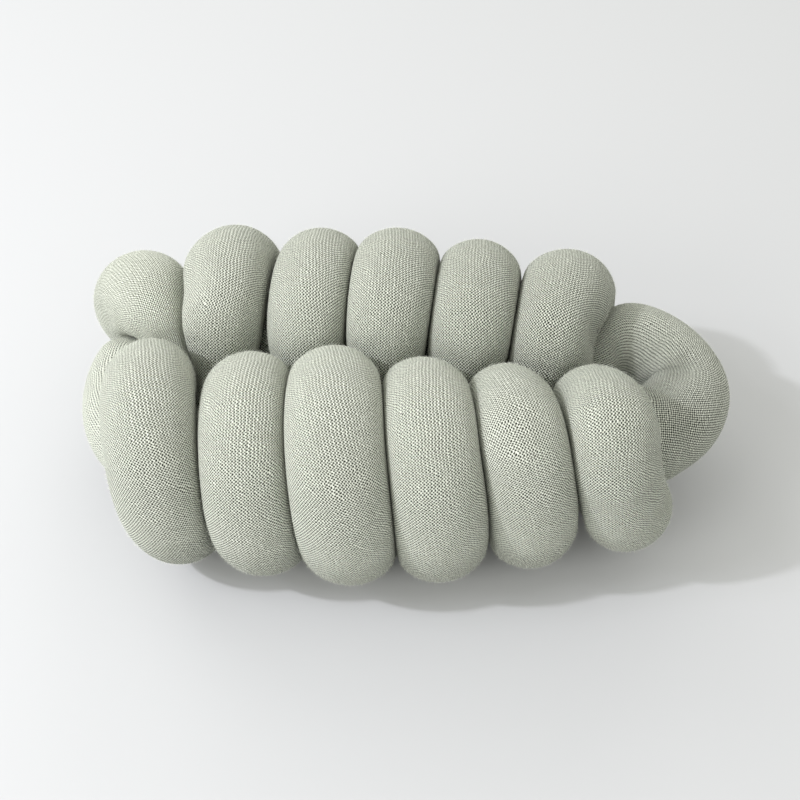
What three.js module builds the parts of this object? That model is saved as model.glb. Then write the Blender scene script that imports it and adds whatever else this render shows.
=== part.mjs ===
// A knotted cushion: one long stuffed tube of knitted cloth, laid as a long ring
// and then wound in figures of eight over the ring's two straight sides.
// Millimetres, +X along the cushion, +Y to its back, +Z up, origin under its middle.

import * as THREE from 'three';

// Driving dimensions.
const TUBE_RADIUS = 36; // the stuffed tube where nothing presses on it
const CORE_Y = 62; // half the distance between the two straight sides of the ring
const CORE_Z = 86; // their height
const CORE_GIRTH = 0.85; // the core is squeezed by the turns around it
const CORE_HALF_LENGTH = 142;
const NECK = 0.17; // how much thinner a turn is at its inner shoulder
const SQUEEZED = 0.62; // share of its girth left where turns cross in the middle valley
const DIP = 11; // how much lower a turn's inner shoulder is than its outer one
const OUTER_FOOT = 210; // degrees round a turn, from its inner side, to its outer foot
const CENTRE = [4.6, -0.2]; // moves the origin under the middle of the whole cushion

// Skin and mesh.
const SIDES = 15;
const RING_STEP = 15;
const OBSTACLES_PER_STEP = 3; // how finely the tube is checked against its other turns
const GAP = 1.6; // clear space between neighbouring turns
const SWELL = 1.1; // a squeezed tube bulges by up to this factor where it is free
const SWELL_ROUNDS = 30; // rounds in which a squeezed ring is given its section back
const SWELL_RATE = 0.25; // share of what is missing that each round gives
const SMOOTHING = 2; // rings each way over which the swelling is evened out
const SOFT = 2.2; // width of the rounding where a turn meets its neighbour
const SOFT_LEAST = 0.85; // share of the shorter length that the rounding always leaves
const CAP_LENGTH = 0.9; // length of an end cap as a share of the tube's radius
const CAP_LEAST = 0.02; // squared share of the radius that the last ring keeps
const BEND_LIMIT = 0.85; // share of the way to a bend's centre that the inside may fill
const NEAR = [22, 60, 120]; // arc lengths: own neighbours, end of bend zone, another turn
const SIGHT = 120; // beyond this distance nothing limits the tube
const LEAST_RADIUS = 3;

// Each turn over a core, left to right. side -1 is the front core, +1 the back one.
// valley: x where the turn leaves the middle; outer: x at its outer foot;
// inward, outward: how far its axis reaches from the core's axis to either side;
// top, low: heights of its axis;
// girth: its thickness as a share of the tube's.
const TURNS = [
  [-1, -192, -162, 55, 48, 144, 32, 0.94],
  [1, -149, -144, 50, 50, 142, 31, 0.98],
  [-1, -113, -97, 48, 46, 133, 32, 1.05],
  [1, -78, -73, 50, 51, 142, 31, 0.96],
  [-1, -53, -31, 52, 48, 141, 32, 1.09],
  [1, -16, -11, 50, 51, 144, 31, 1.01],
  [-1, 15, 36, 51, 39, 138, 32, 1.05],
  [1, 48, 55, 50, 48, 137, 31, 1.01],
  [-1, 75, 103, 56, 25, 136, 43, 0.99],
  [1, 109, 133, 50, 46, 133, 32, 1.02],
].map(([side, valley, outer, inward, outward, top, low, girth]) => ({
  side, valley, outer, inward, outward, top, low, girth,
}));

// Bends at the ends of the ring, the last turn and the tucked end after it, as
// [x, y, z, girth].
const LEFT_RETURN = [
  [-178, 42, 78, 0.7], [-196, 35, 90, 0.9], [-210, 0, 92, 1], [-206, -38, 88, 1],
  [-184, -60, 86, 0.95],
];
const RIGHT_BEND = [
  [167, -40, 84, 0.92], [193, -17, 84, 0.98], [214, 4, 85, 1], [221, 30, 86, 1],
  [209, 55, 89, 1], [186, 70, 92, 0.98], [164, 71, 91, 0.92],
];
const LEFT_HOOK = [
  [-166, 68, 64, 0.8], [-190, 78, 48, 0.85], [-218, 85, 58, 0.95], [-231, 84, 90, 1],
  [-219, 71, 114, 1], [-199, 46, 117, 1.04], [-187, 20, 105, 0.86], [-184, -3, 99, 0.68],
];
const LAST_TURN = [
  [135, 0, 86, 0.54], [142, -17, 118, 0.8], [149, -42, 135, 0.9], [153, -61, 139, 0.91],
  [156, -72, 128, 0.89], [161, -76, 110, 0.88], [167, -77, 90, 0.88], [174, -73, 71, 0.89],
  [177, -60, 54, 0.86], [172, -43, 41, 0.78], [160, -24, 35, 0.72],
];
const TUCKED_END = [[144, -6, 35, 0.72]];

// A smooth 0 to 1 blend of a share between 0 and 1.
const ease = (share) => (1 - Math.cos(Math.PI * share)) / 2;

// The axis points of one turn: up out of the valley, over its core, down outside
// and back under the core.
function turnPoints(turn, nextValley) {
  const middle = (turn.top + turn.low) / 2;
  const half = (turn.top - turn.low) / 2;
  const points = [[turn.valley, 0, CORE_Z, turn.girth * SQUEEZED]];
  for (let degrees = 45; degrees <= 315; degrees += 30) {
    const angle = THREE.MathUtils.degToRad(degrees);
    const inward = Math.max(0, Math.cos(angle));
    const outward = Math.max(0, -Math.cos(angle));
    const leaving = ease(degrees / OUTER_FOOT);
    const returning = ease((degrees - OUTER_FOOT) / (360 - OUTER_FOOT));
    const x = degrees <= OUTER_FOOT
      ? THREE.MathUtils.lerp(turn.valley, turn.outer, leaving)
      : THREE.MathUtils.lerp(turn.outer, nextValley, returning);
    const y = turn.side * (CORE_Y + turn.outward * outward - turn.inward * inward);
    const dip = Math.sin(angle) > 0 ? DIP * inward : 0;
    const z = middle + half * Math.sin(angle) - dip;
    points.push([x, y, z, turn.girth * (1 - NECK * inward)]);
  }
  return points;
}

// One straight side of the ring, from one end to the other.
function corePoints(side, direction) {
  return [-1, -0.5, 0, 0.5, 1].map((share) => [
    direction * share * CORE_HALF_LENGTH, side * CORE_Y, CORE_Z, CORE_GIRTH,
  ]);
}

// All axis points of the tube from one tucked end to the other.
function routePoints() {
  const valleys = [...TURNS.slice(1).map((turn) => turn.valley), LAST_TURN[0][0]];
  const turns = TURNS.flatMap((turn, index) => turnPoints(turn, valleys[index]))
    .slice(1); // the left hook leads straight onto the first turn's shoulder
  return [
    ...LEFT_RETURN, ...corePoints(-1, 1), ...RIGHT_BEND, ...corePoints(1, -1), ...LEFT_HOOK,
    ...turns, ...LAST_TURN, ...TUCKED_END,
  ].map(([x, y, z, girth]) => [x + CENTRE[0], y + CENTRE[1], z, girth]);
}

// Equally spaced stations along the route: place, distance along it, tube radius.
// perStep is how many of them there are to each step from ring to ring.
function stations(perStep) {
  const points = routePoints();
  const curve = new THREE.CatmullRomCurve3(
    points.map(([x, y, z]) => new THREE.Vector3(x, y, z)), false, 'centripetal',
  );
  curve.arcLengthDivisions = points.length * 24;
  const length = curve.getLength();
  const count = Math.round(length / RING_STEP) * perStep;
  const list = [];
  for (let index = 0; index <= count; index += 1) {
    const share = index / count;
    const along = curve.getUtoTmapping(share) * (points.length - 1);
    const before = Math.min(Math.floor(along), points.length - 2);
    const girth = THREE.MathUtils.lerp(points[before][3], points[before + 1][3], along - before);
    list.push({
      place: curve.getPointAt(share), tangent: curve.getTangentAt(share),
      distance: share * length, radius: girth * TUBE_RADIUS,
    });
  }
  return list;
}

// Gives each station a normal that turns as little as it can along the tube.
function addNormals(rings) {
  let normal = new THREE.Vector3(0, 0, 1);
  for (const ring of rings) {
    normal = normal.clone().addScaledVector(ring.tangent, -normal.dot(ring.tangent)).normalize();
    ring.normal = normal;
    ring.binormal = new THREE.Vector3().crossVectors(ring.tangent, normal);
  }
}

// How far the tube may reach from a ring's axis in one direction before it meets
// another turn, or the centre of its own bend.
function reachLimit(ring, direction, obstacles) {
  const [skip, bendEnd, otherTurn] = NEAR;
  let limit = SIGHT;
  for (const other of obstacles) {
    const apart = Math.abs(other.distance - ring.distance);
    const toOther = other.place.clone().sub(ring.place);
    const facing = toOther.dot(direction);
    if (apart > skip && facing > 0 && toOther.lengthSq() < SIGHT * SIGHT) {
      const separate = THREE.MathUtils.clamp((apart - bendEnd) / (otherTurn - bendEnd), 0, 1);
      const bias = separate * (ring.radius ** 2 - other.radius ** 2);
      const halfway = Math.max(0, toOther.lengthSq() + bias) / (2 * facing);
      limit = Math.min(limit, apart < bendEnd ? halfway * BEND_LIMIT : halfway - GAP / 2);
    }
  }
  return Math.max(limit, LEAST_RADIUS);
}

// The radius that gives a squeezed ring its full section back, within the swell.
function freeRadius(ring) {
  let radius = ring.radius;
  for (let round = 0; round < SWELL_ROUNDS; round += 1) {
    const squares = ring.limits.map((limit) => Math.min(radius, limit) ** 2);
    const share = squares.reduce((sum, square) => sum + square, 0) / ring.limits.length;
    const wanted = radius * (1 + SWELL_RATE * (ring.radius ** 2 / share - 1));
    radius = THREE.MathUtils.clamp(wanted, ring.radius, ring.radius * SWELL);
  }
  return radius;
}

// A minimum of two lengths with its corner rounded.
function softMin(first, second) {
  const sharp = Math.min(first, second);
  const rounded = -SOFT * Math.log(Math.exp(-first / SOFT) + Math.exp(-second / SOFT));
  return Math.max(rounded, sharp * SOFT_LEAST);
}

// Half-ellipse end caps: the share of the radius left near the tube's two ends.
function capShare(ring, length) {
  const toEnd = Math.min(ring.distance, length - ring.distance);
  const share = Math.min(1, toEnd / (CAP_LENGTH * ring.radius));
  return Math.sqrt(Math.max(CAP_LEAST, 1 - (1 - share) ** 2));
}

// One closed skin around the whole route, flat where it lies on the ground.
function tubeGeometry() {
  const rings = stations(1);
  const halves = stations(2);
  const obstacles = stations(OBSTACLES_PER_STEP);
  const length = rings.at(-1).distance;
  addNormals(rings);
  rings.forEach((ring, index) => {
    const nearby = [halves[2 * index - 1], ring, halves[2 * index + 1]].filter(Boolean);
    ring.directions = Array.from({ length: SIDES }, (_, side) => {
      const angle = (2 * Math.PI * side) / SIDES;
      return ring.normal.clone().multiplyScalar(Math.cos(angle))
        .addScaledVector(ring.binormal, Math.sin(angle));
    });
    ring.limits = ring.directions.map((direction) => (
      Math.min(...nearby.map((place) => reachLimit(place, direction, obstacles)))
    ));
    ring.free = freeRadius(ring);
  });
  const positions = [];
  rings.forEach((ring, index) => {
    const near = rings.slice(Math.max(0, index - SMOOTHING), index + SMOOTHING + 1);
    const free = near.reduce((sum, other) => sum + other.free, 0) / near.length;
    ring.directions.forEach((direction, side) => {
      const wanted = softMin(free * capShare(ring, length), ring.limits[side]);
      const down = -direction.z;
      const reach = down > 0 ? Math.min(wanted, ring.place.z / down) : wanted;
      const point = ring.place.clone().addScaledVector(direction, reach);
      positions.push(point.x, point.y, Math.max(0, point.z));
    });
  });
  const first = rings[0].place;
  const last = rings.at(-1).place;
  positions.push(first.x, first.y, first.z, last.x, last.y, last.z);
  const firstCentre = rings.length * SIDES;
  const faces = [];
  for (let side = 0; side < SIDES; side += 1) {
    const next = (side + 1) % SIDES;
    for (let ring = 0; ring < rings.length - 1; ring += 1) {
      const a = ring * SIDES + side;
      const b = ring * SIDES + next;
      faces.push(a, b, b + SIDES, a, b + SIDES, a + SIDES);
    }
    const end = (rings.length - 1) * SIDES;
    faces.push(firstCentre, next, side, firstCentre + 1, end + side, end + next);
  }
  const geometry = new THREE.BufferGeometry();
  geometry.setAttribute('position', new THREE.Float32BufferAttribute(positions, 3));
  geometry.setIndex(faces);
  geometry.computeVertexNormals();
  return geometry;
}

const knit = new THREE.MeshStandardMaterial({ color: 0xb9bda9, roughness: 0.95, metalness: 0 });
const tube = new THREE.Mesh(tubeGeometry(), knit);
tube.name = 'knotted_tube';

const cushion = new THREE.Group();
cushion.add(tube);

export default cushion;
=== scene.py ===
"""A knotted cushion: one stuffed tube of plain knit, wound over itself in figures of eight."""

import math

import bpy
import numpy as np
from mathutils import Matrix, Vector


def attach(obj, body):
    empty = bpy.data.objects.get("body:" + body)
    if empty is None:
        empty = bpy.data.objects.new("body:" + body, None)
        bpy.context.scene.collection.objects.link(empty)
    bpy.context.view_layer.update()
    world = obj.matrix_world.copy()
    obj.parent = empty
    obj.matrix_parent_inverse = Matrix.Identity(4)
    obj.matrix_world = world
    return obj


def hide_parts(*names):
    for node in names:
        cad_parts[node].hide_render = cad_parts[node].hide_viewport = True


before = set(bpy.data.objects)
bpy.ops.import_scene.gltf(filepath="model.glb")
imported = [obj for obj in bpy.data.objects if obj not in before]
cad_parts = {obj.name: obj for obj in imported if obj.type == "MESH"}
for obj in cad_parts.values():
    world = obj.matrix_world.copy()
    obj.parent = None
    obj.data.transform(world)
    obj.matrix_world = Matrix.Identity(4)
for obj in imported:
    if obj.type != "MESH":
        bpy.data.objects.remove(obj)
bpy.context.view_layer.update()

# ---------------------------------------------------------------- route of the tube
# Millimetres, as the solid is drawn; MM turns them into metres when the mesh is made.

MM = 0.001
TUBE_RADIUS = 36.0
CORE_Y = 62.0  # the two straight sides of the ring, either side of the middle
CORE_Z = 86.0
CORE_GIRTH = 0.85  # a girth is a share of the tube's radius
CORE_HALF_LENGTH = 142.0
NECK = 0.17  # how much a turn narrows towards the middle of the cushion
SQUEEZED = 0.62  # girth where a turn passes through the valley between the sides
DIP = 11.0  # how far a turn sinks on its way into the valley
CENTRE = (4.6, -0.2)  # brings the middle of the cushion over the origin
TURN_ANGLES = range(45, 316, 30)  # degrees around the core, from the valley over the top
OUTER_FOOT = 210  # degrees at which a turn has come down outside and starts back under

# Each turn over a core, left to right, as in the solid.
TURN_COLUMNS = ("side", "valley", "outer", "inward", "outward", "top", "low", "girth")
TURNS = [dict(zip(TURN_COLUMNS, row)) for row in (
    (-1, -192, -162, 55, 48, 144, 32, 0.94),
    (+1, -149, -144, 50, 50, 142, 31, 0.98),
    (-1, -113, -97, 48, 46, 133, 32, 1.05),
    (+1, -78, -73, 50, 51, 142, 31, 0.96),
    (-1, -53, -31, 52, 48, 141, 32, 1.09),
    (+1, -16, -11, 50, 51, 144, 31, 1.01),
    (-1, 15, 36, 51, 39, 138, 32, 1.05),
    (+1, 48, 55, 50, 48, 137, 31, 1.01),
    (-1, 75, 103, 56, 25, 136, 43, 0.99),
    (+1, 109, 133, 50, 46, 133, 32, 1.02),
)]
LEFT_RETURN = [
    (-178, 42, 78, 0.7), (-196, 35, 90, 0.9), (-210, 0, 92, 1.0), (-206, -38, 88, 1.0),
    (-184, -60, 86, 0.95),
]
RIGHT_BEND = [
    (167, -40, 84, 0.92), (193, -17, 84, 0.98), (214, 4, 85, 1.0), (221, 30, 86, 1.0),
    (209, 55, 89, 1.0), (186, 70, 92, 0.98), (164, 71, 91, 0.92),
]
LEFT_HOOK = [
    (-166, 68, 64, 0.8), (-190, 78, 48, 0.85), (-218, 85, 58, 0.95), (-231, 84, 90, 1.0),
    (-219, 71, 114, 1.0), (-199, 46, 117, 1.04), (-187, 20, 105, 0.86), (-184, -3, 99, 0.68),
]
LAST_TURN = [
    (135, 0, 86, 0.54), (142, -17, 118, 0.8), (149, -42, 135, 0.9), (153, -61, 139, 0.91),
    (156, -72, 128, 0.89), (161, -76, 110, 0.88), (167, -77, 90, 0.88), (174, -73, 71, 0.89),
    (177, -60, 54, 0.86), (172, -43, 41, 0.78), (160, -24, 35, 0.72),
]
TUCKED_END = [(144, -6, 35, 0.72)]


def ease(share):
    return (1 - math.cos(math.pi * share)) / 2


def blend(start, end, share):
    return start + (end - start) * share


def turn_points(turn, next_valley):
    """Axis points of one turn: out of the valley, over its core, down outside and back under."""
    middle = (turn["top"] + turn["low"]) / 2
    half = (turn["top"] - turn["low"]) / 2
    points = [(turn["valley"], 0.0, CORE_Z, turn["girth"] * SQUEEZED)]
    for degrees in TURN_ANGLES:
        angle = math.radians(degrees)
        inward = max(0.0, math.cos(angle))
        outward = max(0.0, -math.cos(angle))
        if degrees <= OUTER_FOOT:
            x = blend(turn["valley"], turn["outer"], ease(degrees / OUTER_FOOT))
        else:
            under = (degrees - OUTER_FOOT) / (360 - OUTER_FOOT)
            x = blend(turn["outer"], next_valley, ease(under))
        y = turn["side"] * (CORE_Y + turn["outward"] * outward - turn["inward"] * inward)
        dip = DIP * inward if math.sin(angle) > 0 else 0.0
        z = middle + half * math.sin(angle) - dip
        points.append((x, y, z, turn["girth"] * (1 - NECK * inward)))
    return points


def core_points(side, direction):
    """One straight side of the ring, from one end to the other."""
    return [(direction * share * CORE_HALF_LENGTH, side * CORE_Y, CORE_Z, CORE_GIRTH)
            for share in (-1, -0.5, 0, 0.5, 1)]


def route_points():
    """All axis points of the tube, from one tucked end to the other."""
    valleys = [turn["valley"] for turn in TURNS[1:]] + [LAST_TURN[0][0]]
    turns = []
    for turn, next_valley in zip(TURNS, valleys):
        turns += turn_points(turn, next_valley)
    route = (LEFT_RETURN + core_points(-1, 1) + RIGHT_BEND + core_points(1, -1)
             + LEFT_HOOK + turns[1:] + LAST_TURN + TUCKED_END)
    shift = np.array([CENTRE[0], CENTRE[1], 0.0, 0.0])
    return np.array(route, float) + shift


def centripetal_spline(points, samples=24):
    """Catmull-Rom through the points, each row x, y, z and girth, densely sampled."""
    ends = np.vstack([2 * points[0] - points[1], points, 2 * points[-1] - points[-2]])
    runs = []
    share = np.linspace(0, 1, samples, endpoint=False)[:, None]
    for index in range(len(points) - 1):
        before, start, end, after = ends[index:index + 4]
        gaps = [math.sqrt(np.linalg.norm((second - first)[:3]))
                for first, second in ((before, start), (start, end), (end, after))]
        leave = ((start - before) / gaps[0] - (end - before) / (gaps[0] + gaps[1])
                 + (end - start) / gaps[1]) * gaps[1]
        arrive = ((end - start) / gaps[1] - (after - start) / (gaps[1] + gaps[2])
                  + (after - end) / gaps[2]) * gaps[1]
        runs.append(start + leave * share
                    + (3 * (end - start) - 2 * leave - arrive) * share ** 2
                    + (2 * (start - end) + leave + arrive) * share ** 3)
    return np.vstack(runs + [points[-1:]])


def stations(spacing):
    """Equally spaced places along the tube, with their distances and tube radii."""
    dense = centripetal_spline(route_points())
    steps = np.linalg.norm(np.diff(dense[:, :3], axis=0), axis=1)
    distance = np.concatenate([[0.0], np.cumsum(steps)])
    even = np.linspace(0, distance[-1], int(round(distance[-1] / spacing)) + 1)
    columns = [np.interp(even, distance, dense[:, column]) for column in range(4)]
    return np.stack(columns[:3], axis=1), even, columns[3] * TUBE_RADIUS


# ---------------------------------------------------------------- creases


def crown(turn):
    """Axis point on top of one turn."""
    return ((turn["valley"] + turn["outer"]) / 2, turn["side"] * CORE_Y, turn["top"],
            turn["girth"])


# A crease is a row of shallow dents from one place on the skin to another. Each place is an
# axis point of the route and the way it faces from there: right, back, up.
CREASE_COLUMNS = ("start", "start_faces", "end", "end_faces", "dents", "reach", "depth")
CREASES = [dict(zip(CREASE_COLUMNS, row)) for row in (
    (LEFT_HOOK[4], (-4, -3, 0), LEFT_HOOK[5], (-1, -4, 2), 4, 9, 5),  # under the left end loop
    (crown(TURNS[1]), (-1, -1, 1), crown(TURNS[1]), (-1, -1, 1), 1, 20, 6),  # first back turn
    (crown(TURNS[9]), (3, -2, 1), crown(TURNS[9]), (2, -2, 0), 2, 18, 6),  # last back turn
    (RIGHT_BEND[2], (-1, 0, 3), RIGHT_BEND[3], (0, 0, 1), 3, 9, 4),  # across the open loop
)]


def skin_place(axis_point, faces):
    """Where the round tube's skin lies, the way that it faces from an axis point."""
    *place, girth = axis_point
    outward = np.array(faces, float)
    outward *= girth * TUBE_RADIUS / np.linalg.norm(outward)
    return np.array(place) + (*CENTRE, 0.0) + outward


def dents():
    """Every dent of the creases: its middle, how far it reaches and how deep it goes."""
    for crease in CREASES:
        start = skin_place(crease["start"], crease["start_faces"])
        end = skin_place(crease["end"], crease["end_faces"])
        for middle in np.linspace(start, end, crease["dents"]):
            yield middle, crease["reach"], crease["depth"]


# ---------------------------------------------------------------- skin of the tube

AROUND = 72  # points around the tube
RING_STEP = 3.6
OBSTACLE_STEP = 5.0
GAP = 0.3  # clear space between neighbouring turns
SWELL = 1.1  # a squeezed tube bulges by up to this factor where it is free
SOFT = 2.0  # width of the rounding where a turn meets its neighbour
BEND_LIMIT = 0.9  # share of the way to a bend's centre that the inside may fill
NEAR = (22.0, 60.0, 120.0)  # arc lengths: own neighbours, end of bend zone, another turn
SIGHT = 120.0  # beyond this distance nothing limits the tube
LEAST_RADIUS = 3.0
FIRM = 0.85  # share of its free radius that the rounding leaves to a turn
SMOOTHINGS = 3
SWELL_STEPS = 30
SWELL_PACE = 0.25
SWELL_SPREAD = 30.0  # a squeeze shows in the radius over about this length
CAP_LENGTH = 0.9  # length of the tube's rounded ends, in radii
CAP_TIP = 0.02  # share of the radius left at the very end
LUMP = 0.9  # unevenness of the stuffing
LUMP_FREE = 0.8  # a ring that is left less than this share of its radius has no lumps
LUMP_WAVES = (  # how many around the tube, their turn, 1 / 2 pi of their length, their shift
    (2, 0.7, 31.0, 0.0),
    (3, 0.0, 17.0, 2.0),
)
TINY = 1e-6  # keeps divisions off zero


def ring_axes(places):
    """The two axes of each ring, turning as little as they can along the tube."""
    tangents = np.gradient(places, axis=0)
    tangents /= np.linalg.norm(tangents, axis=1)[:, None]
    normals = np.zeros_like(places)
    normal = np.array([0.0, 0.0, 1.0])
    for index, tangent in enumerate(tangents):
        normal = normal - tangent * normal.dot(tangent)
        normal /= np.linalg.norm(normal)
        normals[index] = normal
    return normals, np.cross(tangents, normals)


def reach_limits(places, distance, radii, directions):
    """How far each ring may reach before it meets another turn or its own bend's centre."""
    other_places, other_distance, other_radii = stations(OBSTACLE_STEP)
    skip, bend_end, other_turn = NEAR
    limits = np.full(directions.shape[:2], SIGHT)
    for index, place in enumerate(places):
        toward = other_places - place
        squared = (toward ** 2).sum(axis=1)
        apart = np.abs(other_distance - distance[index])
        seen = (apart > skip) & (squared < SIGHT ** 2)
        toward, squared, apart = toward[seen], squared[seen], apart[seen]
        share = np.clip((apart - bend_end) / (other_turn - bend_end), 0, 1)
        bias = share * (radii[index] ** 2 - other_radii[seen] ** 2)
        facing = directions[index] @ toward.T
        halfway = np.maximum(squared + bias, 0) / (2 * np.maximum(facing, TINY))
        halfway = np.where(apart < bend_end, halfway * BEND_LIMIT, halfway - GAP / 2)
        limits[index] = np.where(facing > TINY, halfway, SIGHT).min(axis=1)
    return np.maximum(limits, LEAST_RADIUS)


def smooth_along(values, reach):
    """Running average over reach rings each way, ends held."""
    kernel = np.hanning(2 * reach + 3)
    kernel /= kernel.sum()
    pad = [(reach + 1, reach + 1)] + [(0, 0)] * (values.ndim - 1)
    padded = np.pad(values, pad, mode="edge")
    if values.ndim == 1:
        return np.convolve(padded, kernel, mode="valid")
    columns = [np.convolve(column, kernel, mode="valid") for column in padded.T]
    return np.stack(columns, axis=1)


def smooth_around(values, reach):
    """Running average over reach points each way around each ring."""
    kernel = np.hanning(2 * reach + 3)
    kernel /= kernel.sum()
    total = np.zeros_like(values)
    for offset, weight in zip(range(-reach - 1, reach + 2), kernel):
        total += weight * np.roll(values, offset, axis=1)
    return total


def free_radii(radii, limits):
    """The radius that gives each squeezed ring its full section back, within the swell."""
    free = radii.copy()
    for _ in range(SWELL_STEPS):
        section = (np.minimum(free[:, None], limits) ** 2).mean(axis=1)
        missing = radii ** 2 / section - 1
        free = np.clip(free * (1 + SWELL_PACE * missing), radii, radii * SWELL)
    return smooth_along(free, int(SWELL_SPREAD / RING_STEP))


def cap_shares(distance, radii):
    """Half-ellipse caps: the share of the radius left near the tube's two ends."""
    to_end = np.minimum(distance, distance[-1] - distance)
    share = np.clip(to_end / (CAP_LENGTH * radii), 0, 1)
    return np.sqrt(np.maximum(CAP_TIP ** 2, 1 - (1 - share) ** 2))


def stuffing_lumps(distance, angle):
    """Slow ups and downs of the skin, around the tube and along it."""
    waves = [np.sin(distance / length + shift)[:, None] * np.sin(count * angle + turn)[None]
             for count, turn, length, shift in LUMP_WAVES]
    return sum(waves) * LUMP / 2


def tube_skin():
    """Points of the skin as rings, distances along the tube, each ring's two axes, clearances."""
    places, distance, radii = stations(RING_STEP)
    normals, binormals = ring_axes(places)
    angle = np.linspace(0, 2 * np.pi, AROUND, endpoint=False)
    directions = (np.cos(angle)[None, :, None] * normals[:, None]
                  + np.sin(angle)[None, :, None] * binormals[:, None])
    limits = reach_limits(places, distance, radii, directions)
    free = (free_radii(radii, limits) * cap_shares(distance, radii))[:, None]
    free = free + stuffing_lumps(distance, angle) * (free > LUMP_FREE * radii[:, None])
    reach = -SOFT * np.logaddexp(-free / SOFT, -limits / SOFT)
    reach = np.maximum(reach, np.minimum(free, limits) * FIRM)
    for _ in range(SMOOTHINGS):
        reach = np.minimum(smooth_around(smooth_along(reach, 2), 1), limits)
    points = places[:, None] + reach[:, :, None] * directions
    for middle, dent_reach, depth in dents():
        away = ((points - middle) ** 2).sum(axis=2)
        reach -= depth * np.exp(-away / dent_reach ** 2)
    down = np.maximum(-directions[:, :, 2], TINY)
    reach = np.where(reach * down > places[:, None, 2], places[:, None, 2] / down, reach)
    points = places[:, None] + reach[:, :, None] * directions
    points[:, :, 2] = np.maximum(points[:, :, 2], 0.0)
    return points, distance, np.stack([normals, binormals], axis=1), limits - reach


# ---------------------------------------------------------------- mesh of the tube

WALES = 91  # columns of stitches around the tube
WALE_WIDTH = 2 * math.pi * TUBE_RADIUS / WALES
COURSES = ((35.0, 5.4), (90.0, 2.65), (140.0, 2.3))  # mean height of a ring, length of a row
SLIDE = 0.2  # how far the inside of a bend follows its own length instead
SLIDE_REACH = 440.0  # about two turns, over which the sliding averages out
LONG_SIDE = 0.9  # share of a ring's steps that are shorter than the one that sets the count
COURSE_SPREAD = 4  # rings each way over which the count is evened out
TURNS_START = 1180.0  # how far along the tube the turns begin
TURNS_BLEND = 100.0
SIDE_SPREAD = 40.0  # length over which the side that faces along the cushion is smoothed
TWIST = 0.08  # columns that the tube twists by in each row
WANDER = 4.0  # columns that it wanders either way
WANDER_ROWS = 35.0


def course_counts(points):
    """Rows of stitches up to each point of each ring.

    The outer side of each bend sets the count; the rest of the ring slides a little along it.
    """
    steps = np.linalg.norm(np.diff(points, axis=0), axis=2)
    longest = smooth_along(np.quantile(steps, LONG_SIDE, axis=1), COURSE_SPREAD)
    heights, rows = zip(*COURSES)
    course = np.interp(points[:-1, :, 2].mean(axis=1), heights, rows)
    start = np.zeros((1, points.shape[1]))
    slide = np.vstack([start, np.cumsum(steps - steps.mean(axis=1)[:, None], axis=0)])
    slide -= smooth_along(slide, int(SLIDE_REACH / RING_STEP))
    count = np.concatenate([[0.0], np.cumsum(longest / smooth_along(course, COURSE_SPREAD))])
    return count[:, None] + SLIDE * slide / course.mean()


def wale_counts(points, distance, side_angle):
    """Columns of stitches at both corners of each face of each ring, counted around it.

    Columns keep their width, so where the tube narrows some of them end in the seams between
    neighbouring turns, at the two sides of the ring that face along the cushion.
    """
    lengths = np.linalg.norm(np.roll(points, -1, axis=1) - points, axis=2)
    around = np.hstack([np.zeros((len(points), 1)), np.cumsum(lengths, axis=1)])
    whole = around[:, -1:]
    corner = side_angle / (2 * np.pi) * AROUND
    corners = np.arange(AROUND + 1)
    seams = [np.array([np.interp(place % AROUND, corners, row)
                       for place, row in zip(corner + half, around)])[:, None]
             for half in (0, AROUND / 2)]
    turning = np.clip((distance - TURNS_START) / TURNS_BLEND, 0, 1)[:, None]
    width = blend(whole / WALES, WALE_WIDTH, turning)
    middle = (around[:, :-1] + around[:, 1:]) / 2
    span = (seams[1] - seams[0]) % whole
    first = (middle - seams[0]) % whole < span
    centre = np.where(first, seams[0] + span / 2, seams[1] + (whole - span) / 2)
    offset = (middle - centre + whole / 2) % whole - whole / 2
    start = np.where(first, WALES / 4, WALES * 3 / 4)
    return (start + (offset - lengths / 2) / width, start + (offset + lengths / 2) / width)


def side_angles(distance, axes):
    """Angle around each ring of the side that faces along the cushion, smoothed."""
    along_cushion = axes[:, :, 0]
    angle = np.unwrap(np.arctan2(along_cushion[:, 1], along_cushion[:, 0]))
    turning = distance > TURNS_START
    angle[~turning] = angle[turning][0]
    return smooth_along(angle, int(SIDE_SPREAD / RING_STEP))


def skin_quads(rings):
    """Ring and side of each four-sided face, the side after it, and the face's four corners."""
    ring, side = np.meshgrid(np.arange(rings - 1), np.arange(AROUND), indexing="ij")
    following = (side + 1) % AROUND
    corners = np.stack([ring * AROUND + side, ring * AROUND + following,
                        (ring + 1) * AROUND + following, (ring + 1) * AROUND + side], axis=-1)
    return ring, side, following, corners


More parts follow.
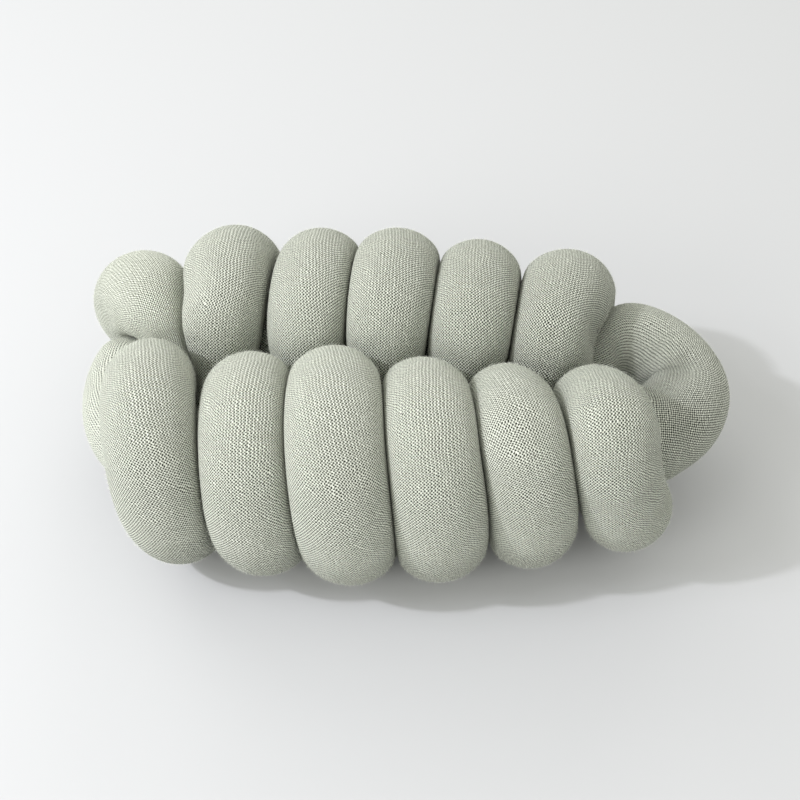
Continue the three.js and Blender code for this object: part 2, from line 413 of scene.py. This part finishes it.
def tube_mesh(name, skin):
    """A closed mesh of the skin, with a UV map in whole stitches around and along."""
    points, distance, axes, _ = skin
    courses = course_counts(points)
    left, right = wale_counts(points, distance, side_angles(distance, axes))
    rings = len(points)
    vertices = points.reshape(-1, 3) * MM
    ends = np.stack([points[0].mean(axis=0), points[-1].mean(axis=0)]) * MM
    vertices = np.vstack([vertices, ends])
    ring, side, following, quads = skin_quads(rings)
    faces = quads.reshape(-1, 4).tolist()
    first, last = rings * AROUND, rings * AROUND + 1
    far = (rings - 1) * AROUND
    for index in range(AROUND):
        after = (index + 1) % AROUND
        faces.append((first, after, index))
        faces.append((last, far + index, far + after))
    mesh = bpy.data.meshes.new(name)
    mesh.from_pydata(vertices.tolist(), [], faces)
    stitches = mesh.uv_layers.new(name="stitches")
    rows = courses.mean(axis=1)
    twist = TWIST * rows + WANDER * np.sin(rows / WANDER_ROWS)
    left, right = left + twist[:, None], right + twist[:, None]
    here = ring.ravel()
    beyond = here + 1
    side = side.ravel()
    following = following.ravel()
    loops = np.stack([left[here, side], courses[here, side],
                      right[here, side], courses[here, following],
                      right[beyond, side], courses[beyond, following],
                      left[beyond, side], courses[beyond, side]], axis=1).reshape(-1, 2)
    caps = np.zeros((2 * AROUND * 3, 2))
    stitches.data.foreach_set("uv", np.vstack([loops, caps]).ravel())
    mesh.polygons.foreach_set("use_smooth", [True] * len(mesh.polygons))
    mesh.update()
    return mesh


# ---------------------------------------------------------------- node trees


class Value:
    """One output of a node; operators on it add Math nodes."""

    def __init__(self, tree, socket):
        self.tree = tree
        self.socket = socket

    def also(self, output):
        """Another output of the same node."""
        return Value(self.tree, self.socket.node.outputs[output])

    def _math(self, operation, *values, clamp=False):
        return self.tree.node("ShaderNodeMath", {"operation": operation, "use_clamp": clamp},
                              dict(enumerate(values)))

    def __add__(self, other):
        return self._math("ADD", self, other)

    __radd__ = __add__

    def __sub__(self, other):
        return self._math("SUBTRACT", self, other)

    def __rsub__(self, other):
        return self._math("SUBTRACT", other, self)

    def __mul__(self, other):
        return self._math("MULTIPLY", self, other)

    __rmul__ = __mul__

    def __truediv__(self, other):
        return self._math("DIVIDE", self, other)

    def __rtruediv__(self, other):
        return self._math("DIVIDE", other, self)

    def abs(self):
        return self._math("ABSOLUTE", self)

    def cos(self):
        return self._math("COSINE", self)

    def clamp(self):
        return self._math("ADD", self, 0.0, clamp=True)


class Tree:
    """A node tree, built one node at a time."""

    def __init__(self, tree):
        self.tree = tree

    def node(self, kind, settings=None, inputs=None, output=0):
        """Add a node: its type, its settings, then the values or links of its sockets."""
        made = self.tree.nodes.new(kind)
        for key, value in (settings or {}).items():
            setattr(made, key, value)
        for key, value in (inputs or {}).items():
            if isinstance(value, Value):
                self.tree.links.new(value.socket, made.inputs[key])
            else:
                made.inputs[key].default_value = value
        return Value(self, made.outputs[output]) if made.outputs else None


class Shader(Tree):
    """A material's node tree."""

    def __init__(self, name):
        self.material = bpy.data.materials.new(name)
        self.material.use_nodes = True
        super().__init__(self.material.node_tree)
        self.tree.nodes.clear()

    def finish(self, surface):
        self.node("ShaderNodeOutputMaterial", None, {"Surface": surface})
        return self.material


# ---------------------------------------------------------------- loose fibres

FIBRES = {"Density": 110000.0, "Length": 0.0026, "Thickness": 0.00018}
FIBRE_SIZES = (0.4, 1.1)
FIBRE_TILT = 0.8  # radians either way from upright
FIBRE_SEED = 7
CLEAR_OF_SKIN = 2.5  # fibres grow only where the skin is this far from its neighbours
CLEAR_OF_FLOOR = 4.0


def open_skin(name, skin):
    """The part of the skin that is clear of its neighbours and of the floor."""
    points, _, _, clear = skin
    free = (clear > CLEAR_OF_SKIN) & (points[:, :, 2] > CLEAR_OF_FLOOR)
    ring, side, following, quads = skin_quads(len(points))
    kept = free[ring, side] & free[ring + 1, following]
    mesh = bpy.data.meshes.new(name)
    mesh.from_pydata((points.reshape(-1, 3) * MM).tolist(), [], quads[kept].tolist())
    mesh.update()
    return mesh


def fibre_tree(material):
    """Geometry Nodes: short tapered fibres scattered over a surface."""
    group = bpy.data.node_groups.new("loose_fibres", "GeometryNodeTree")
    group.interface.new_socket("Geometry", in_out="INPUT", socket_type="NodeSocketGeometry")
    for name in FIBRES:
        group.interface.new_socket(name, in_out="INPUT", socket_type="NodeSocketFloat")
    group.interface.new_socket("Geometry", in_out="OUTPUT", socket_type="NodeSocketGeometry")
    tree = Tree(group)
    surface = tree.node("NodeGroupInput")
    fibre = tree.node("GeometryNodeMeshCone", {"fill_type": "NGON"}, {
        "Vertices": 3, "Radius Top": 0.0, "Radius Bottom": surface.also("Thickness") * 0.5,
        "Depth": surface.also("Length")})
    spots = tree.node("GeometryNodeDistributePointsOnFaces", None, {
        "Mesh": surface, "Density": surface.also("Density"), "Seed": FIBRE_SEED})
    least, most = FIBRE_SIZES
    sizes = tree.node("FunctionNodeRandomValue", {"data_type": "FLOAT"}, {
        "Min": least, "Max": most, "Seed": FIBRE_SEED}, output=1)
    lean = tree.node("FunctionNodeRandomValue", {"data_type": "FLOAT_VECTOR"}, {
        0: (-FIBRE_TILT, -FIBRE_TILT, 0.0), 1: (FIBRE_TILT, FIBRE_TILT, 2 * math.pi),
        "Seed": FIBRE_SEED + 1})
    placed = tree.node("GeometryNodeInstanceOnPoints", None, {
        "Points": spots, "Instance": fibre, "Rotation": spots.also("Rotation"),
        "Scale": sizes})
    leaning = tree.node("GeometryNodeRotateInstances", None, {
        "Instances": placed, "Rotation": lean})
    solid = tree.node("GeometryNodeRealizeInstances", None, {0: leaning})
    coloured = tree.node("GeometryNodeSetMaterial", None, {
        "Geometry": solid, "Material": material})
    tree.node("NodeGroupOutput", None, {0: coloured})
    return group


def grow_fibres(piece, group):
    """Replace the piece's surface by the fibres that the tree grows on it."""
    modifier = piece.modifiers.new("fibres", "NODES")
    modifier.node_group = group
    for item in group.interface.items_tree:
        if item.name in FIBRES:
            modifier[item.identifier] = FIBRES[item.name]
    evaluated = piece.evaluated_get(bpy.context.evaluated_depsgraph_get())
    grown = bpy.data.meshes.new_from_object(evaluated)
    piece.modifiers.clear()
    piece.data = grown


# ---------------------------------------------------------------- knit

# Places where the knit differs, counted along the tube in rows of stitches: the middle row,
# the rows that it fades over, and how many such fades it reaches either way in all.
HIDDEN_BEND = (40.0, 50.0, 1.6)
OPEN_LOOP = (315.0, 40.0, 1.7)
END_LOOP = (545.0, 45.0, 1.6)

# Height in metres at which it begins, and how fast it grows for each metre from there.
TOP = (0.13, 22.0)
LOW = (0.085, 20.0)


def near_row(along, place):
    """1 around a row of stitches, fading to 0 both ways."""
    row, fade, extent = place
    return (extent - ((along - row) / fade).abs()).clamp()


def knit_material(name, yarn, shade, deep):
    """Plain knit: columns of V stitches, with dark openings between and inside the columns, and
    painted shade in the hollows and openings.
    """
    knit = Shader(name)
    stitches = knit.node("ShaderNodeUVMap", {"uv_map": "stitches"})
    place = knit.node("ShaderNodeTexCoord", output="Object")

    def noise(where, scale, detail):
        return knit.node("ShaderNodeTexNoise", None,
                         {"Vector": where, "Scale": scale, "Detail": detail}, output="Fac")

    # Stitches: columns across, rows along, both a little out of line.
    across = knit.node("ShaderNodeSeparateXYZ", None, {0: stitches})
    along = across.also(1)
    uneven = noise(stitches, 0.9, 1.0)
    shift = (uneven - 0.5) * 0.4 + (noise(place, 60.0, 2.0) - 0.5) * 1.4
    column = ((across + shift) * (2 * math.pi)).cos()  # -1 in the middle of a column
    row = ((along + shift) * (2 * math.pi)).cos()
    weave = column * row  # 1 at the openings between and inside the columns, -1 on the legs

    # Where the knit is drawn tight or is slack, each from 0 to 1, and a mask of painted shade
    # towards the far right.
    side = knit.node("ShaderNodeSeparateXYZ", None, {0: place})
    depth = side.also(1)
    height = side.also(2)
    painted_shade_right = ((side * 2.2 + depth * 2.8 + 0.14) * 2.0).clamp()  # painted shade, darker towards the far right and the back
    top = ((height - TOP[0]) * TOP[1]).clamp()
    low = ((LOW[0] - height) * LOW[1]).clamp()
    bend = near_row(along, OPEN_LOOP) + near_row(along, HIDDEN_BEND)
    slack = near_row(along, END_LOOP)  # its stitches stand out less
    tight = top + bend * (1.0 - top)  # openings shrink on top and where a bend is stretched

    # Openings between the stitches, and the relief of the stitches themselves. The openings widen
    # towards the far right as painted shade.
    openness = (weave + column * (bend * 0.5 + 0.1)
                - tight * 0.12 - slack * 0.04 + painted_shade_right * 0.12 + low * 0.4)
    opening = (openness * 3.8 * (uneven * 1.4 + 0.4)).clamp()
    rib = 0.5 - column * 0.5
    relief = rib * (tight * 0.2 + 0.45) + (0.5 - weave * 0.5) * (0.55 - tight * 0.2)

    # Colour: painted shade in the hollows, yarn on the crests, and a near-black painted shade,
    # deep, in the openings.
    fibres = noise(place, 1400.0, 3.0)
    blotch = noise(place, 14.0, 3.0)
    # painted shade: the tone darkens towards the far right and the back
    tone = (relief * 1.1 + 0.3 + low * 0.15 - painted_shade_right * 0.1 - slack * 0.22
            + (fibres - 0.5) * 1.0 + (blotch - 0.5) * 0.2).clamp()
    base = knit.node("ShaderNodeMix", {"data_type": "RGBA"},
                     {"Factor": tone, 6: (*shade, 1.0), 7: (*yarn, 1.0)}, output=2)
    colour = knit.node("ShaderNodeMix", {"data_type": "RGBA"},
                       {"Factor": opening, 6: base, 7: (*deep, 1.0)}, output=2)
    surface_height = (relief * 0.8 - opening + fibres * 0.15) * (1.0 - slack * 0.5)
    bump = knit.node("ShaderNodeBump", None,
                     {"Strength": 1.0, "Distance": 0.0018, "Height": surface_height})
    surface = knit.node("ShaderNodeBsdfPrincipled", None, {
        "Base Color": colour, "Roughness": 0.92, "Normal": bump,
        "Sheen Weight": 0.6, "Sheen Roughness": 0.5, "Sheen Tint": (*yarn, 1.0),
        "Specular IOR Level": 0.2,
    })
    return knit.finish(surface)


def fibre_material(name, yarn):
    fibre = Shader(name)
    surface = fibre.node("ShaderNodeBsdfPrincipled", None, {
        "Base Color": (*yarn, 1.0), "Roughness": 0.95, "Specular IOR Level": 0.2})
    return fibre.finish(surface)


def linear(red, green, blue):
    """Linear colour from the 0 to 255 values of a colour chart."""
    return tuple(((part / 255 + 0.055) / 1.055) ** 2.4 for part in (red, green, blue))


# ---------------------------------------------------------------- the cushion

def make_cushion(skin):
    piece = bpy.data.objects.new("knitted_tube", tube_mesh("knitted_tube", skin))
    bpy.context.scene.collection.objects.link(piece)
    # shade and deep are painted shade, for the hollows between the stitches and for the openings
    piece.data.materials.append(knit_material(
        "sage_knit", yarn=linear(243, 247, 233), shade=linear(145, 149, 128),
        deep=linear(22, 23, 12)))
    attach(piece, "root")
    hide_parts("knotted_tube")


def make_fibres(skin):
    piece = bpy.data.objects.new("loose_fibres", open_skin("loose_fibres", skin))
    bpy.context.scene.collection.objects.link(piece)
    grow_fibres(piece, fibre_tree(fibre_material("sage_fibre", linear(240, 243, 232))))
    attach(piece, "root")


# ---------------------------------------------------------------- studio

def floor_material():
    paper = Shader("studio_paper")
    surface = paper.node("ShaderNodeBsdfPrincipled", None, {
        "Base Color": (*linear(204, 205, 206), 1.0), "Roughness": 0.9,
        "Specular IOR Level": 0.1})
    return paper.finish(surface)


CUSHION_MIDDLE = (0.0, 0.0, 0.05)
LAMP_COLUMNS = ("name", "place", "size", "power", "colour")
LAMPS = [dict(zip(LAMP_COLUMNS, row)) for row in (
    ("window", (-1.82, -0.55, 1.9), 0.12, 26, (0.97, 0.97, 1.04)),
    ("soft_window", (-2.15, -0.65, 2.2), 1.1, 22, (0.97, 0.97, 1.04)),
    ("front_left", (-2.2, -2.2, 1.65), 1.6, 32, (1.0, 1.0, 0.98)),
    ("back_left", (-3.2, 3.2, 2.8), 3.6, 50, (1.0, 1.0, 0.98)),
    ("back", (0.5, 4.2, 2.6), 2.6, 24, (1.0, 1.0, 0.98)),
)]
AIR_COLOUR = (1.0, 1.0, 0.95)
AIR_STRENGTH = 0.78

CAMERA_AZIMUTH = 5
CAMERA_ELEVATION = 50
CAMERA_DISTANCE = 0.88
CAMERA_TARGET = (0.0026, -0.0002, 0.088)


def make_floor():
    half = 4.0
    mesh = bpy.data.meshes.new("studio_floor")
    mesh.from_pydata([(-half, -half, 0), (half, -half, 0), (half, half, 0), (-half, half, 0)],
                     [], [(0, 1, 2, 3)])
    mesh.materials.append(floor_material())
    floor = bpy.data.objects.new("studio_floor", mesh)
    bpy.context.scene.collection.objects.link(floor)


def aim(obj, place, target):
    obj.location = place
    obj.rotation_euler = (Vector(target) - Vector(place)).to_track_quat("-Z", "Y").to_euler()


def make_lamp(name, place, size, power, colour):
    data = bpy.data.lights.new(name, "AREA")
    data.shape = "DISK"
    data.size = size
    data.energy = power
    data.color = colour
    lamp = bpy.data.objects.new(name, data)
    bpy.context.scene.collection.objects.link(lamp)
    aim(lamp, place, CUSHION_MIDDLE)


def make_world():
    world = bpy.data.worlds.new("studio_air")
    world.use_nodes = True
    background = world.node_tree.nodes["Background"]
    background.inputs["Color"].default_value = (*AIR_COLOUR, 1.0)
    background.inputs["Strength"].default_value = AIR_STRENGTH
    bpy.context.scene.world = world


def make_camera():
    azimuth, elevation = math.radians(CAMERA_AZIMUTH), math.radians(CAMERA_ELEVATION)
    back = Vector((math.sin(azimuth) * math.cos(elevation),
                   -math.cos(azimuth) * math.cos(elevation), math.sin(elevation)))
    target = Vector(CAMERA_TARGET)
    data = bpy.data.cameras.new("camera")
    data.lens = 50
    data.sensor_width = 36
    camera = bpy.data.objects.new("camera", data)
    bpy.context.scene.collection.objects.link(camera)
    aim(camera, target + back * CAMERA_DISTANCE, target)
    bpy.context.scene.camera = camera


make_camera()
skin = tube_skin()
make_cushion(skin)
make_fibres(skin)
make_floor()
for lamp in LAMPS:
    make_lamp(**lamp)
make_world()

view = bpy.context.scene.view_settings
view.view_transform = "Standard"
